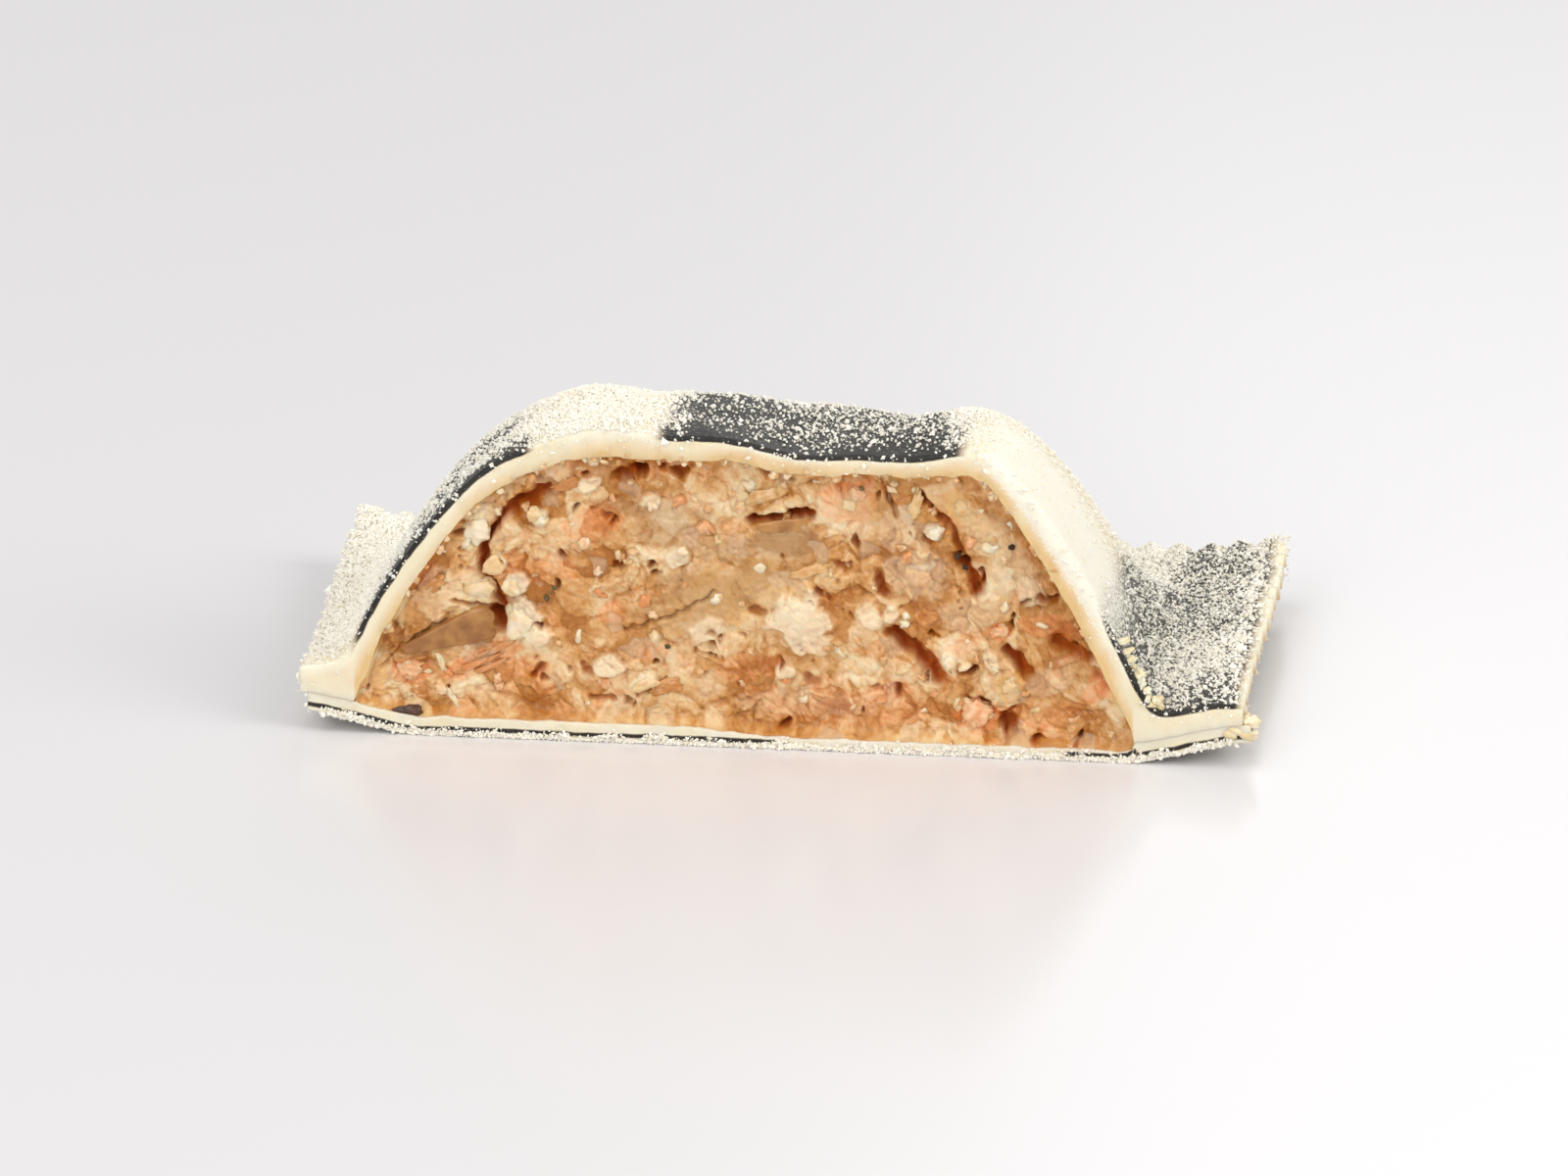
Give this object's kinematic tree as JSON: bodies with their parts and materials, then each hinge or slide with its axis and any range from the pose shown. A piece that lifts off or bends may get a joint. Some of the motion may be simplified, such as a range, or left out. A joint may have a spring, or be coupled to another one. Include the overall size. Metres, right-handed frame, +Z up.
{
  "type": "ravioli",
  "caption": "Half of a large square raviolo in striped pasta with pinked edges, cut straight through to show its coarse filling.",
  "frame": {"origin": "middle of the raviolo's footprint, on the surface that it lies on", "axes": "+X along the knife cut, to the right for someone who faces the cut; +Y from the cut towards the back rim; +Z up"},
  "size_m": [0.05, 0.025, 0.0173],
  "materials": {
    "striped_pasta": "smooth egg pasta with black squid-ink stripes, dusted with flour",
    "floured_pasta": "egg pasta under a thick dusting of flour",
    "filling": "moist, coarse fish and cheese filling"
  },
  "bodies": {
    "root": {"upper_sheet": "striped_pasta", "lower_sheet": "floured_pasta", "filling": "filling"}
  },
  "joints": []
}
